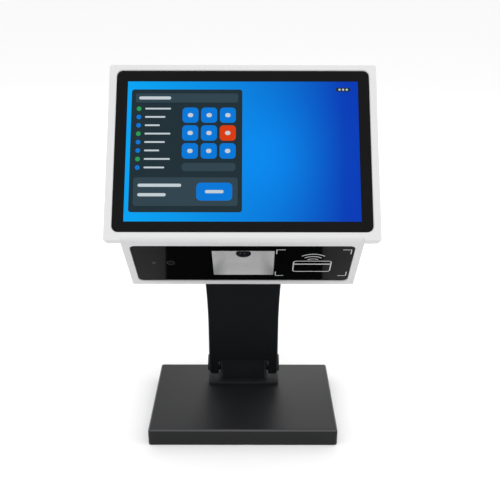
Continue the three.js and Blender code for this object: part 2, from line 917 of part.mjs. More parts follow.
// Bracket on the rear cover whose two ears carry the head
function headBracket() {
  const ear = new THREE.Shape();
  ear.moveTo(gap, hingeRise - headBracketReach);
  ear.lineTo(hingeStandoff, hingeRise - earRadius);
  ear.absarc(hingeStandoff, hingeRise, earRadius, -Math.PI / 2, Math.PI / 2, false);
  ear.lineTo(gap, hingeRise + headBracketReach);
  const plate = block(
    -headBracketHalf,
    headBracketHalf,
    gap,
    gap + bracketSheet,
    hingeRise - headBracketReach,
    hingeRise + headBracketReach,
  );
  const screwPlaces = [];
  for (const z of [-1, 1]) {
    for (const x of [-1, 1]) {
      screwPlaces.push([x * bracketScrewX, hingeRise + z * bracketScrewRise]);
    }
  }
  const bracket = [
    roundX(
      boltRadius + boltClearance,
      -headBracketHalf - over,
      headBracketHalf + over,
      hingeStandoff,
      hingeRise,
    ),
    ...screwPlaces.map(([x, z]) => roundY(
      bracketScrewRadius + gap,
      0,
      2 * bracketSheet,
      x,
      z,
      roundSteps / 2,
    )),
  ].reduce(
    (left, tool) => left.subtract(solid(tool)),
    join(
      plate,
      prism(ear, -headBracketHalf, -headBracketHalf + bracketSheet),
      prism(ear, headBracketHalf - bracketSheet, headBracketHalf),
    ),
  );
  piece(rear, 'head_bracket', shaped(bracket), materials.black);
  const seat = 2 * gap + bracketSheet;
  screwPlaces.forEach(([x, z], index) => {
    const screw = join(
      roundY(bracketScrewRadius, -coverThickness - bracketScrewTail, seat + gap, x, z, roundSteps / 2),
      roundY(bracketScrewHeadRadius, seat, seat + bracketScrewHead, x, z),
    );
    piece(rear, `bracket_screw_${index + 1}`, shaped(screw), materials.steel);
  });
}

// Front outline of the column, set in by the sheet for its inside or by the fold of its edges
function columnOutline(inset, bottom, top, corner) {
  const right = [];
  const half = columnWidth / 2 - inset;
  const flareBottom = pivotHeight + flareStart;
  const flareTop = headAxisHeight - webTopDrop;
  if (corner > 0) {
    for (let i = 0; i <= cornerSteps; i += 1) {
      const angle = (Math.PI / 2) * (i / cornerSteps);
      right.push(new THREE.Vector2(
        half - corner + corner * Math.sin(angle),
        bottom + corner - corner * Math.cos(angle),
      ));
    }
  } else {
    right.push(new THREE.Vector2(half, bottom));
  }
  for (let i = 0; i <= flareSteps; i += 1) {
    const share = i / flareSteps;
    right.push(new THREE.Vector2(
      half + columnFlare * share * share,
      flareBottom + (flareTop - flareBottom) * share,
    ));
  }
  right.push(new THREE.Vector2(half + columnFlare, top));
  const left = right.map((point) => new THREE.Vector2(-point.x, point.y)).reverse();
  return [...right, ...left];
}

// Column: a folded sheet channel with ears at both ends, and the cover that closes its back
function columnPieces() {
  const bottom = pivotHeight - earRadius;
  const top = headAxisHeight + earRadius;
  const webTop = headAxisHeight - webTopDrop;
  const notchTop = pivotHeight + notchRise;
  const wallLean = radians(headLean) - rearTilt;
  const side = new THREE.Shape();
  side.moveTo(-columnFront, bottom + legLift);
  side.lineTo(-columnFront, webTop);
  side.absarc(0, headAxisHeight, earRadius, Math.PI - wallLean, 0, true);
  side.absarc(0, pivotHeight, earRadius, 0, -Math.PI / 2, true);
  const inner = columnWidth / 2 + columnFlare - columnSheet;
  const folds = [[0, earRadius]];
  for (let i = 0; i <= cornerSteps; i += 1) {
    const angle = (Math.PI / 2) * (i / cornerSteps);
    folds.push([foldRadius * (1 - Math.cos(angle)), foldRadius * (1 - Math.sin(angle)) - columnFront]);
  }
  const folded = skin(
    folds.map(([inset]) => columnOutline(inset, bottom, top, legCorner + legLift)),
    folds.map(([, y]) => y),
    (point, level) => [point.x, level, point.y],
  );
  const tools = [
    slab(
      new THREE.Shape(columnOutline(columnSheet, bottom - over, top + over, 0)),
      columnSheet - columnFront,
      earRadius + over,
    ),
    block(-notchWidth / 2, notchWidth / 2, -columnFront - over, 0, bottom - over, notchTop),
    block(-inner, inner, -columnFront - over, 0, webTop, top + over),
    ...[-1, 1].map((x) => roundY(
      reliefRadius,
      -columnFront - over,
      -columnFront + columnSheet + over,
      (x * notchWidth) / 2,
      notchTop - reliefDrop,
      roundSteps / 2,
    )),
    ...[pivotHeight, headAxisHeight].map((z) => roundX(
      boltRadius + boltClearance,
      -columnWidth,
      columnWidth,
      0,
      z,
    )),
  ];
  const channel = tools.reduce(
    (left, tool) => left.subtract(solid(tool)),
    solid(folded).intersect(solid(prism(side, -columnWidth, columnWidth))),
  );
  piece(stand, 'column_channel', shaped(channel), materials.black);

  const coverBack = earRadius - columnCoverInset;
  const lid = solid(slab(
    new THREE.Shape(
      columnOutline(columnSheet + gap, pivotHeight + columnCoverRise, headAxisHeight - columnCoverDrop, 0),
    ),
    coverBack - columnCoverThickness,
    coverBack,
  ));
  piece(stand, 'column_cover', shaped(lid), materials.black);
}

// Bolt, bush, friction washer and nut on each side of a hinge
function hingeHardware(prefix, z, bracketHalf, flangeInner) {
  const flangeOuter = flangeInner + columnSheet;
  const bracketInner = bracketHalf - bracketSheet;
  const washerOuter = flangeInner - gap;
  const washerInner = washerOuter - washerThickness;
  for (const [name, side] of [['left', -1], ['right', 1]]) {
    const round = (radius, x0, x1, steps) => {
      const ends = [side * x0, side * x1].sort((a, b) => a - b);
      return roundX(radius, ends[0], ends[1], 0, z, steps);
    };
    const headFace = flangeOuter + gap + boltHead;
    const bolt = join(
      round(boltRadius, bracketInner - boltTip, flangeOuter + 2 * gap),
      round(boltHeadRadius, flangeOuter + gap, headFace),
    ).subtract(solid(round(keyRadius, headFace - keyDepth, headFace + over, hexagon)));
    piece(stand, `${prefix}_bolt_${name}`, shaped(bolt), materials.black);
    const bore = round(boltRadius + boltClearance, 0, flangeOuter);
    const bush = cut(round(bushRadius, bracketHalf + gap, washerInner - gap), bore);
    piece(stand, `${prefix}_bush_${name}`, shaped(bush), materials.darkSteel);
    const washer = cut(round(washerRadius, washerInner, washerOuter), bore);
    piece(stand, `${prefix}_washer_${name}`, shaped(washer), materials.plastic);
    const nut = cut(round(nutRadius, bracketInner - gap - nutThickness, bracketInner - gap, hexagon), bore);
    piece(stand, `${prefix}_nut_${name}`, shaped(nut), materials.steel);
  }
}

// Foot bracket on its plate, which bolts down onto the base
function footPieces() {
  const plateBottom = baseHeight + gap;
  const plateTop = plateBottom + footPlateThickness;
  const bracketBottom = plateTop + gap;
  const bracketSide = new THREE.Shape();
  bracketSide.moveTo(-bracketFront, bracketBottom);
  bracketSide.lineTo(-bracketFront, pivotHeight + bracketWebRise);
  bracketSide.lineTo(0, pivotHeight + earRadius);
  bracketSide.absarc(0, pivotHeight, earRadius, Math.PI / 2, 0, true);
  bracketSide.lineTo(bracketRear, bracketBottom);
  const bracket = join(
    prism(bracketSide, -footHalf, -footHalf + bracketSheet),
    prism(bracketSide, footHalf - bracketSheet, footHalf),
    block(
      -footHalf,
      footHalf,
      -bracketFront,
      -bracketFront + bracketSheet,
      bracketBottom,
      pivotHeight + bracketWebRise,
    ),
    block(-footHalf, footHalf, -bracketFront, bracketRear, bracketBottom, bracketBottom + bracketSheet),
  ).subtract(solid(roundX(boltRadius + boltClearance, -footHalf - over, footHalf + over, 0, pivotHeight)));
  const bends = ring(2 * footHalf, 2 * bracketFront + 2 * bracketRear, bracketFold, 0, bracketRear);
  const flat = (point, level) => [point.x, point.y, level];
  const folded = skin([bends, bends], [bracketBottom - over, pivotHeight + earRadius + over], flat);
  piece(kiosk, 'foot_bracket', shaped(bracket.intersect(solid(folded))), materials.black);

  const plateMiddle = (footPlateRear - footPlateFront) / 2;
  const plateRings = [0, 1].map(() => ring(
    footPlateWidth,
    footPlateRear + footPlateFront,
    footPlateCorner,
    0,
    plateMiddle,
  ));
  const places = [];
  for (const y of [-footScrewFront, footScrewRear]) {
    for (const x of [-footScrewX, footScrewX]) {
      places.push([x, y]);
    }
  }
  const plate = cut(
    skin(plateRings, [plateBottom, plateTop], flat),
    ...places.map(([x, y]) => roundZ(
      footScrewRadius + gap,
      plateBottom - over,
      plateTop - footScrewBlind,
      x,
      y,
    )),
  );
  piece(kiosk, 'foot_plate', shaped(plate), materials.black);

  const skinBottom = baseHeight - baseSheet;
  const headTop = skinBottom - gap;
  places.forEach(([x, y], index) => {
    const screw = join(
      roundZ(footScrewRadius, headTop - gap, plateTop - footScrewBlind - gap, x, y),
      roundZ(footScrewHeadRadius, headTop - footScrewHead, headTop, x, y),
    );
    piece(kiosk, `foot_screw_${index + 1}`, shaped(screw), materials.steel);
  });

  const middle = baseRear - baseDepth / 2;
  const levels = [rimLift];
  const insets = [0];
  for (let i = 0; i <= cornerSteps; i += 1) {
    const angle = (Math.PI / 2) * (i / cornerSteps);
    insets.push(baseEdgeRadius * (1 - Math.cos(angle)));
    levels.push(baseHeight - baseEdgeRadius * (1 - Math.sin(angle)));
  }
  const baseRing = (inset) => ring(
    baseWidth - 2 * inset,
    baseDepth - 2 * inset,
    Math.max(baseCorner - inset, gap),
    0,
    middle,
  );
  const plain = (inset, z0, z1) => skin([baseRing(inset), baseRing(inset)], [z0, z1], flat);
  const shell = cut(
    skin(insets.map(baseRing), levels, flat),
    plain(baseSheet, rimLift - over, skinBottom),
    ...places.map(([x, y]) => roundZ(footScrewRadius + gap, 0, baseHeight + over, x, y)),
  );
  piece(kiosk, 'base_tray', shaped(shell), materials.black);

  const bottomStart = padThickness + gap;
  const weightStart = bottomStart + bottomPlateThickness + gap;
  const lowest = plain(baseSheet + gap, bottomStart, bottomStart + bottomPlateThickness);
  piece(kiosk, 'base_bottom_plate', lowest, materials.black);
  const weight = cut(
    plain(baseSheet + weightInset, weightStart, weightStart + weightThickness),
    ...places.map(([x, y]) => roundZ(footScrewHeadRadius + 2 * gap, weightStart - over, baseHeight, x, y)),
  );
  piece(kiosk, 'weight_plate', shaped(weight), materials.steel);

  let number = 1;
  for (const y of [baseRear - padInset, baseRear - baseDepth + padInset]) {
    for (const x of [-1, 1]) {
      const pad = roundZ(padRadius, 0, padThickness, x * (baseWidth / 2 - padInset), y);
      piece(kiosk, `rubber_foot_${number}`, pad, materials.rubber);
      number += 1;
    }
  }
}

piece(head, 'front_housing', shaped(housing()), materials.white);
displayPieces();
chinPieces();
rearPieces();
headBracket();
columnPieces();
hingeHardware('head_hinge', headAxisHeight, headBracketHalf, columnWidth / 2 + columnFlare - columnSheet);
hingeHardware('foot_hinge', pivotHeight, footHalf, columnWidth / 2 - columnSheet);
footPieces();

// The origin lies under the middle of the whole kiosk
kiosk.updateMatrixWorld(true);
const extent = new THREE.Box3().setFromObject(kiosk, true);
kiosk.position.y = -(extent.min.y + extent.max.y) / 2;
kiosk.updateMatrixWorld(true);

export default kiosk;
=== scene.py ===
"""Desktop self checkout kiosk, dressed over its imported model."""

import math

import bmesh
import bpy
from mathutils import Matrix, Vector


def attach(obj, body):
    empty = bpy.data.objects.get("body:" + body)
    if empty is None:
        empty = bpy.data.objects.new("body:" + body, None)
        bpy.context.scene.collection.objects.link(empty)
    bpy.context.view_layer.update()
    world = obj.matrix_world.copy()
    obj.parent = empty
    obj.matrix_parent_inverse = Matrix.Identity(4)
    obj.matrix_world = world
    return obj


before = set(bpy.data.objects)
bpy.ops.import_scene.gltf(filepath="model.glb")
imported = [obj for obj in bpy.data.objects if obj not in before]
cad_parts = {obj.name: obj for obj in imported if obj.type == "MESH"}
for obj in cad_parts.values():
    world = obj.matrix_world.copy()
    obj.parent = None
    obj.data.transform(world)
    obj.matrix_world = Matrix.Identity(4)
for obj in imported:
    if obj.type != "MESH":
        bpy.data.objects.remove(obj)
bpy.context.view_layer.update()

# Camera: a 50 mm lens about 0.7 m from the kiosk, above the screen and looking down at it. Colours
# are shown without a film curve, so that each finish keeps its own brightness.
camera_place = (0.0069, -0.6266, 0.4528)
camera_down = 23.36
camera_roll = 0.07
camera = bpy.data.objects.new("camera", bpy.data.cameras.new("camera"))
bpy.context.scene.collection.objects.link(camera)
bpy.context.scene.camera = camera
camera.data.sensor_width = 36
camera.data.lens = 50.4
camera.matrix_world = (
    Matrix.Translation(camera_place)
    @ Matrix.Rotation(math.radians(90 - camera_down), 4, "X")
    @ Matrix.Rotation(math.radians(camera_roll), 4, "Z")
)
bpy.context.scene.view_settings.view_transform = "Standard"


# Studio: a table top that runs out of sight, white round the kiosk and grey towards the front,
# under a white tent that is open low down at the front. Round lamps hang over the kiosk and stand
# at its right, left, front and back.
class Tone:
    """One output of a finish, so that masks and heights can be written as sums."""

    def __init__(self, finish, socket):
        self.finish = finish
        self.socket = socket

    def sum(self, operation, *values):
        return self.finish.node("ShaderNodeMath", {"operation": operation}, dict(enumerate(values)))

    def __add__(self, other):
        return self.sum("ADD", self, other)

    def __sub__(self, other):
        return self.sum("SUBTRACT", self, other)

    def __rsub__(self, other):
        return self.sum("SUBTRACT", other, self)

    def __mul__(self, other):
        return self.sum("MULTIPLY", self, other)

    def __lt__(self, other):
        return self.sum("LESS_THAN", self, other)

    def __gt__(self, other):
        return self.sum("GREATER_THAN", self, other)

    def __abs__(self):
        return self.sum("ABSOLUTE", self)

    __radd__ = __add__
    __rmul__ = __mul__


class Finish:
    """A paint, moulding or print: one shader, its fixed settings and what varies over it."""

    def __init__(self, name, settings):
        self.material = bpy.data.materials.new(name)
        self.material.use_nodes = True
        self.tree = self.material.node_tree
        self.shader = self.tree.nodes["Principled BSDF"]
        for socket, value in settings.items():
            self.shader.inputs[socket].default_value = value

    def node(self, kind, settings=(), inputs=(), output=0):
        """Adds a node by its type, its settings and the values or tones of its sockets."""
        made = self.tree.nodes.new(kind)
        for setting, value in dict(settings).items():
            setattr(made, setting, value)
        for socket, value in dict(inputs).items():
            if isinstance(value, Tone):
                self.tree.links.new(value.socket, made.inputs[socket])
            else:
                made.inputs[socket].default_value = value
        return Tone(self, made.outputs[output])

    def place(self):
        """Where a point of the piece is, in metres in the kiosk's frame."""
        return self.node("ShaderNodeTexCoord", output="Object")

    def spread(self, direction, origin=(0, 0, 0)):
        """How far a point is from an origin along a direction, in metres."""
        away = self.node(
            "ShaderNodeVectorMath", {"operation": "SUBTRACT"}, {0: self.place(), 1: origin}
        )
        return self.node(
            "ShaderNodeVectorMath", {"operation": "DOT_PRODUCT"}, {0: away, 1: direction}, "Value"
        )

    def rise(self, value, low, high):
        """0 below low and 1 above high, with a soft step between."""
        return self.node(
            "ShaderNodeMapRange",
            {"interpolation_type": "SMOOTHSTEP"},
            {"Value": value, "From Min": low, "From Max": high},
        )

    def noise(self, scale, detail=2, roughness=0.5, stretch=(1, 1, 1)):
        """Soft random patches, finer as the scale grows."""
        stretched = self.node("ShaderNodeMapping", (), {"Vector": self.place(), "Scale": stretch})
        return self.node(
            "ShaderNodeTexNoise",
            (),
            {"Vector": stretched, "Scale": scale, "Detail": detail, "Roughness": roughness},
        )

    def mix(self, share, low, high):
        """The colour low where the share is 0, and high where it is 1."""
        # A Mix node has its two colours at inputs 6 and 7, and the mixed colour at output 2
        inputs = {0: share}
        for socket, colour in ((6, low), (7, high)):
            inputs[socket] = colour if isinstance(colour, Tone) else (*colour, 1)
        return self.node("ShaderNodeMix", {"data_type": "RGBA"}, inputs, output=2)

    def feed(self, socket, tone):
        """Links a tone to one of the shader's sockets."""
        self.tree.links.new(tone.socket, self.shader.inputs[socket])

    def relief(self, height, distance, strength):
        """Raises the surface by a height, over a distance in metres."""
        bump = self.node(
            "ShaderNodeBump", (), {"Height": height, "Distance": distance, "Strength": strength}
        )
        self.feed("Normal", bump)


table = Finish("white table top", {"Roughness": 0.85, "Specular IOR Level": 0.1})
grey_until = -0.55
white_from = -0.17
behind = table.rise(table.spread((0, 1, 0)) + 0.02 * table.noise(3.0), grey_until, white_from)
table.feed("Base Color", table.mix(behind, (0.42, 0.42, 0.42), (0.97, 0.97, 0.97)))
reach = 14.0
floor_mesh = bpy.data.meshes.new("table_top")
floor_mesh.from_pydata(
    [(-reach, -reach, 0), (reach, -reach, 0), (reach, reach, 0), (-reach, reach, 0)],
    [],
    [(0, 1, 2, 3)],
)
floor_mesh.materials.append(table.material)
floor = bpy.data.objects.new("table_top", floor_mesh)
bpy.context.scene.collection.objects.link(floor)


class Tent(Finish):
    """The tent's lit cloth: a finish of the world, spread over directions instead of places."""

    def __init__(self, name):
        self.material = bpy.data.worlds.new(name)
        self.material.use_nodes = True
        self.tree = self.material.node_tree
        self.shader = self.tree.nodes["Background"]

    def place(self):
        return self.node("ShaderNodeTexCoord", output="Generated")


tent = Tent("white tent, open low down at the front")
high_from = 0.5
front_from = -0.04
front_whole = 0.2
low = 1 - tent.rise(tent.spread((0, 0, 1)), 0.0, high_from)
front = tent.rise(tent.spread((0, -1, 0)), front_from, front_whole)
tent.feed("Color", tent.mix(low * front, (1, 1, 1), (0.46, 0.46, 0.46)))
bpy.context.scene.world = tent.material

for name, place, aim, size, power in (
    ("lamp_over", (0, -0.55, 2.2), (0, 0, 0.2), 0.6, 3.2),
    ("lamp_right", (1.5, -0.4, 0.9), (0, 0, 0.15), 0.8, 5.0),
    ("lamp_left", (-1.5, -0.4, 0.9), (0, 0, 0.2), 0.8, 2.5),
    ("lamp_front", (-0.1, -2.0, 1.35), (0, 0, 0.2), 0.9, 3.6),
    ("lamp_behind", (0.15, 1.5, 0.68), (0, 0.05, 0.02), 0.6, 3.2),
):
    lamp = bpy.data.objects.new(name, bpy.data.lights.new(name, "AREA"))
    lamp.data.shape = "DISK"
    lamp.data.size = size
    lamp.data.energy = power
    lamp.location = place
    lamp.rotation_euler = (Vector(aim) - Vector(place)).to_track_quat("-Z", "Y").to_euler()
    bpy.context.scene.collection.objects.link(lamp)


# Front housing: one moulding of satin white plastic with walls of 2 to 2.5 mm. The frame round the
# glass bends over a soft edge into the chin, and the side cheeks close the wedge behind it.
def dress(names, finish, edge=0.0, sharp=30):
    """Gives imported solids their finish, and breaks their sharp edges by a small radius."""
    flat_within = 0.5
    for name in names:
        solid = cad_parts[name]
        solid.data.materials.clear()
        solid.data.materials.append(finish.material)
        solid.data.polygons.foreach_set("use_smooth", [True] * len(solid.data.polygons))
        solid.data.set_sharp_from_angle(angle=math.radians(sharp))
        if edge:
            flat = solid.modifiers.new("flat faces", "DECIMATE")
            flat.decimate_type = "DISSOLVE"
            flat.angle_limit = math.radians(flat_within)
            broken = solid.modifiers.new("broken edges", "BEVEL")
            broken.width = edge
            broken.segments = 2
            broken.limit_method = "ANGLE"
            broken.angle_limit = math.radians(sharp)
            broken.harden_normals = True


white = Finish("satin white moulding", {"Roughness": 0.4, "Specular IOR Level": 0.35})
cloud = white.noise(14.0, 3)
grain = white.noise(1400.0, 2)
white.feed("Base Color", white.mix(cloud, (0.73, 0.73, 0.738), (0.75, 0.75, 0.757)))
white.feed("Roughness", 0.36 + 0.08 * cloud)
white.relief(grain, 0.00002, 0.5)
dress(["front_housing", "rear_cover"], white, 0.0003)


# Cover glass: one sheet of 3 mm glass, printed black behind, with a polished face and edge. The lit
# picture would lie behind it. Here it is laid on its face, about a tenth of a millimetre proud.
head_lean = -33.9
screen = Matrix.Translation((0, 0.0058232, 0.2805239)) @ Matrix.Rotation(
    math.radians(head_lean), 4, "X"
)
glass = Finish("black printed glass", {"Roughness": 0.06, "Specular IOR Level": 0.1})
smear = glass.noise(30.0, 3, 0.6, (1, 0.3, 1))
glass.feed("Base Color", glass.mix(smear, (0.0025, 0.0025, 0.0026), (0.0045, 0.0045, 0.0047)))
glass.feed("Roughness", 0.04 + 0.05 * smear)
dress(["cover_glass"], glass, 0.0003)


def rounded(x, z, width, height, radius, steps=5):
    """Corner points of a rounded rectangle about x, z, going round against the clock."""
    points = []
    for sx, sz, start in ((1, 1, 0), (-1, 1, 90), (-1, -1, 180), (1, -1, 270)):
        for step in range(steps + 1):
            angle = math.radians(start + 90 * step / steps)
            points.append(
                (
                    x + sx * (width / 2 - radius) + radius * math.cos(angle),
                    z + sz * (height / 2 - radius) + radius * math.sin(angle),
                )
            )
    return points


def build(name, solid, finish, body):
    """Makes a piece from a bmesh that is in place in the kiosk's frame, and gives it its body."""
    sharp = 30
    mesh = bpy.data.meshes.new(name)
    solid.to_mesh(mesh)
    solid.free()
    mesh.materials.append(finish.material)
    mesh.polygons.foreach_set("use_smooth", [True] * len(mesh.polygons))
    mesh.set_sharp_from_angle(angle=math.radians(sharp))
    made = bpy.data.objects.new(name, mesh)
    bpy.context.scene.collection.objects.link(made)
    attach(made, body)


def press(solid, outline, front, back, place):
    """Adds a plate to a bmesh: a flat outline in X and Z, from depth front to depth back."""
    faces = []
    for depth in (front, back):
        faces.append([solid.verts.new(place @ Vector((x, depth, z))) for x, z in outline])
    solid.faces.new(faces[0])
    solid.faces.new(reversed(faces[1]))
    count = len(outline)
    for i in range(count):
        j = (i + 1) % count
        solid.faces.new((faces[0][j], faces[0][i], faces[1][i], faces[1][j]))


picture = bmesh.new()
pixels = picture.loops.layers.float_color.new("picture")
lit_width = 0.21696
lit_height = 0.1356
azure = Vector((0.0, 0.366, 0.905))
navy = Vector((0.0, 0.042, 0.47))
sky_glow = Vector((0.0, 0.29, 0.98))
glow_x = 0.018
glow_z = -0.006
glow_width = 0.048
glow_height = 0.055
glow_strength = 0.6
fade_gain = 1.08
fade_curve = 1.15


def sky(x, z):
    """The screen's blue ground: azure at the left, navy at the right, with one soft round glow."""
    across = min(max(x / lit_width + 0.5, 0), 1)
    tone = azure.lerp(navy, min(1, fade_gain * across**fade_curve))
    near = math.hypot((x - glow_x) / glow_width, (z - glow_z) / glow_height)
    return tone.lerp(sky_glow, glow_strength * math.exp(-near * near))


glass_face = 0.0005
picture_proud = 0.00007
layer_step = 0.00001
columns = 64
rows = 40
grid = {}
for i in range(columns + 1):
    for k in range(rows + 1):
        x = lit_width * (i / columns - 0.5)
        z = lit_height * (k / rows - 0.5)
        grid[i, k] = picture.verts.new(screen @ Vector((x, glass_face - picture_proud, z)))
corner_steps = {corner: steps for steps, corner in grid.items()}
for i in range(columns):
    for k in range(rows):
        face = picture.faces.new([grid[i, k], grid[i + 1, k], grid[i + 1, k + 1], grid[i, k + 1]])
        for loop in face.loops:
            across, up = corner_steps[loop.vert]
            tone = sky(lit_width * (across / columns - 0.5), lit_height * (up / rows - 0.5))
            loop[pixels] = (*tone, 1)


def patch(layer, left, top, width, height, radius, colour):
    """One flat shape of the picture, measured in millimetres from the lit area's top left."""
    outline = rounded(
        -lit_width / 2 + (left + width / 2) / 1000,
        lit_height / 2 - (top + height / 2) / 1000,
        width / 1000,
        height / 1000,
        radius / 1000,
    )
    depth = glass_face - picture_proud - layer_step * layer
    corners = [picture.verts.new(screen @ Vector((x, depth, z))) for x, z in outline]
    for loop in picture.faces.new(corners).loops:
        loop[pixels] = (*colour, 1)


slate = (0.014, 0.029, 0.038)
slate_light = (0.030, 0.058, 0.076)
sky_blue = (0.0, 0.185, 0.68)
orange_red = (0.68, 0.045, 0.004)
pale = (0.55, 0.62, 0.66)
green = (0.02, 0.33, 0.09)

# The picture: a list of blank rows with round marks, a block of plain tiles and one key
row_pitch = 8.2
tile_size = 15
tile_pitch = 17.5
patch(1, 4, 8, 104, 119, 2.5, slate)
patch(2, 8, 12, 96, 9, 1.5, slate_light)
patch(3, 11, 15, 30, 3, 1.4, pale)
for row in range(8):
    top = 25 + row_pitch * row
    patch(2, 9, top, 4.4, 4.4, 2.15, sky_blue if row % 3 else green)
    patch(2, 17, top + 1.3, 24 - 5 * (row % 3), 1.6, 0.7, pale)
for row in range(3):
    for tile in range(3):
        colour = orange_red if (row, tile) == (1, 2) else sky_blue
        left = tile_pitch * tile
        down = tile_pitch * row
        patch(2, 52 + left, 26 + down, tile_size, tile_size, 3.5, colour)
        patch(3, 57 + left, 31.5 + down, 5, 4, 1.9, pale)
patch(2, 52, 80, 50, 8, 3.5, slate_light)
patch(2, 8, 94, 96, 27, 2.5, slate_light)
patch(3, 12, 100, 40, 3, 1.4, pale)
patch(3, 12, 109, 26, 3, 1.4, pale)
patch(3, 66, 99, 33, 17, 4, sky_blue)
patch(4, 74, 106, 17, 3, 1.4, pale)
patch(1, 196, 6, 14, 4, 1.9, slate)
for dot in range(3):
    patch(2, 198.6 + 3.4 * dot, 7, 2, 2, 0.9, pale)

lit = Finish("lit display behind glass", {"Roughness": 0.06, "Specular IOR Level": 0.03})
lit.feed("Base Color", lit.mix(lit.noise(30.0, 3), (0.001, 0.001, 0.001), (0.002, 0.002, 0.002)))
lit.feed("Emission Color", lit.node("ShaderNodeAttribute", {"attribute_name": "picture"}))
lit.shader.inputs["Emission Strength"].default_value = 1.0
build("display_picture", picture, lit, "head")


# Chin panel: 3 mm of black acrylic with a polished face, dropped into the housing's pocket. The
# card target is screen printed on it in silver: four corner marks, a card and three arcs.
chin_lean = 37.1
chin = Matrix.Translation((0, -0.0422042, 0.2090515)) @ Matrix.Rotation(
    math.radians(chin_lean), 4, "X"
)
gloss = Finish("polished black acrylic", {"Roughness": 0.05, "Specular IOR Level": 0.049})
haze = gloss.noise(22.0, 3, 0.6)
gloss.feed("Base Color", gloss.mix(haze, (0.0012, 0.0013, 0.0015), (0.0022, 0.0023, 0.0026)))
gloss.feed("Roughness", 0.035 + 0.04 * haze)
dress(["scanner_panel"], gloss, 0.0002)

silver = Finish("silver screen print", {"Roughness": 0.35, "Specular IOR Level": 0.3})
silver.feed("Base Color", silver.mix(silver.noise(900.0), (0.52, 0.52, 0.53), (0.64, 0.64, 0.65)))
target = bmesh.new()
card_x = 0.06665
card_z = -0.0432
target_half_width = 0.0352
target_half_height = 0.0262
mark_arm = 0.0085
mark_line = 0.0009
mark_corner = 0.0002
print_front = 0.00094
print_back = 0.00099
for side in (-1, 1):
    for end in (-1, 1):
        corner_x = card_x + side * target_half_width
        corner_z = card_z + end * target_half_height
        for long_x, long_z in ((mark_arm, mark_line), (mark_line, mark_arm)):
            mark_x = corner_x - side * long_x / 2
            mark_z = corner_z - end * long_z / 2
            mark = rounded(mark_x, mark_z, long_x, long_z, mark_corner, 2)
            press(target, mark, print_front, print_back, chin)


def stroke(path, width):
    """Adds a printed line of one width along a path of points in X and Z."""
    overlap = 0.3
    for (x0, z0), (x1, z1) in zip(path, path[1:]):
        along = Vector((x1 - x0, z1 - z0)).normalized() * width / 2
        off = Vector((-along.y, along.x))
        ends = (Vector((x0, z0)) - along * overlap, Vector((x1, z1)) + along * overlap)
        outline = (ends[0] - off, ends[1] - off, ends[1] + off, ends[0] + off)
        press(target, [tuple(corner) for corner in outline], print_front, print_back, chin)


card_drop = 0.0065
card_width = 0.036
card_height = 0.021
card_corner = 0.0028
card_line = 0.0011
card_outline = rounded(card_x, card_z - card_drop, card_width, card_height, card_corner, 4)
stroke(card_outline + card_outline[:1], card_line)
stripe_half = 0.017
stripe_z = card_z - 0.002
stripe_line = 0.0018
stroke([(card_x - stripe_half, stripe_z), (card_x + stripe_half, stripe_z)], stripe_line)
arc_z = card_z + 0.001
arc_start = 50
arc_sweep = 80
arc_steps = 12
arc_line = 0.0012
for radius in (0.0075, 0.012, 0.0165):
    arc = []
    for step in range(arc_steps + 1):
        angle = math.radians(arc_start + arc_sweep * step / arc_steps)
        arc.append((card_x + radius * math.cos(angle), arc_z + radius * math.sin(angle)))
    stroke(arc, arc_line)
build("card_target_print", target, silver, "head")


# Scan hood: a pale grey moulded funnel behind the panel's window, matt so that the scanner isn't
# dazzled, with painted shade in its lower corners. A dark lens sits in its back wall, with two
# small pale discs on it as painted glints.
pale_grey = Finish("matt pale grey moulding", {"Roughness": 0.75, "Specular IOR Level": 0.2})
hood_cloud = pale_grey.noise(40.0, 2)
plain_grey = pale_grey.mix(hood_cloud, (0.485, 0.485, 0.49), (0.525, 0.525, 0.53))
window_x = 0.00055
window_z = -0.0441
hood_middle = chin @ Vector((window_x, 0, window_z))
off_side = abs(pale_grey.spread((1, 0, 0), hood_middle))
off_low = pale_grey.spread(chin.to_3x3() @ Vector((0, 0, -1)), hood_middle)
# Painted shade: the grey is darkened towards the hood's lower corners, where shadow falls
shade_side = (0.014, 0.028)
shade_low = (-0.004, 0.020)
shade_share = 0.75
painted_shade = pale_grey.rise(off_side, *shade_side) * pale_grey.rise(off_low, *shade_low)
pale_grey.feed("Base Color", pale_grey.mix(shade_share * painted_shade, plain_grey, (0.26, 0.26, 0.262)))
pale_grey.relief(pale_grey.noise(2200.0, 2), 0.00002, 0.5)
dress(["scan_hood"], pale_grey, 0.0002, sharp=40)

dark_lens = Finish("dark polished lens", {"Roughness": 0.05, "Specular IOR Level": 0.15})
coating = dark_lens.node("ShaderNodeLayerWeight", (), {"Blend": 0.4}, output=1)
dark_lens.feed("Base Color", dark_lens.mix(coating, (0.008, 0.008, 0.009), (0.018, 0.016, 0.021)))
dress(["scan_lens"], dark_lens, 0.0002)

# Two small pale discs laid on the lens's face: painted glints where the lens shows light dots
glint_discs = bmesh.new()
glint_z = -0.0431
glint_size = 0.0013
glint_round = 0.00064
glint_proud = 0.00005
glint_sunk = 0.0001
lens_front = 0.0116
for glint_x in (-0.0026, 0.0017):
    glint = rounded(glint_x, glint_z, glint_size, glint_size, glint_round, 4)
    press(glint_discs, glint, lens_front - glint_proud, lens_front + glint_sunk, chin)
glint_finish = Finish("painted glint on the lens", {"Roughness": 0.1, "Specular IOR Level": 0.6})
glint_finish.feed(
    "Base Color", glint_finish.mix(glint_finish.noise(2000.0), (0.11, 0.11, 0.12), (0.16, 0.16, 0.17))
)
build("painted_lens_glints", glint_discs, glint_finish, "head")


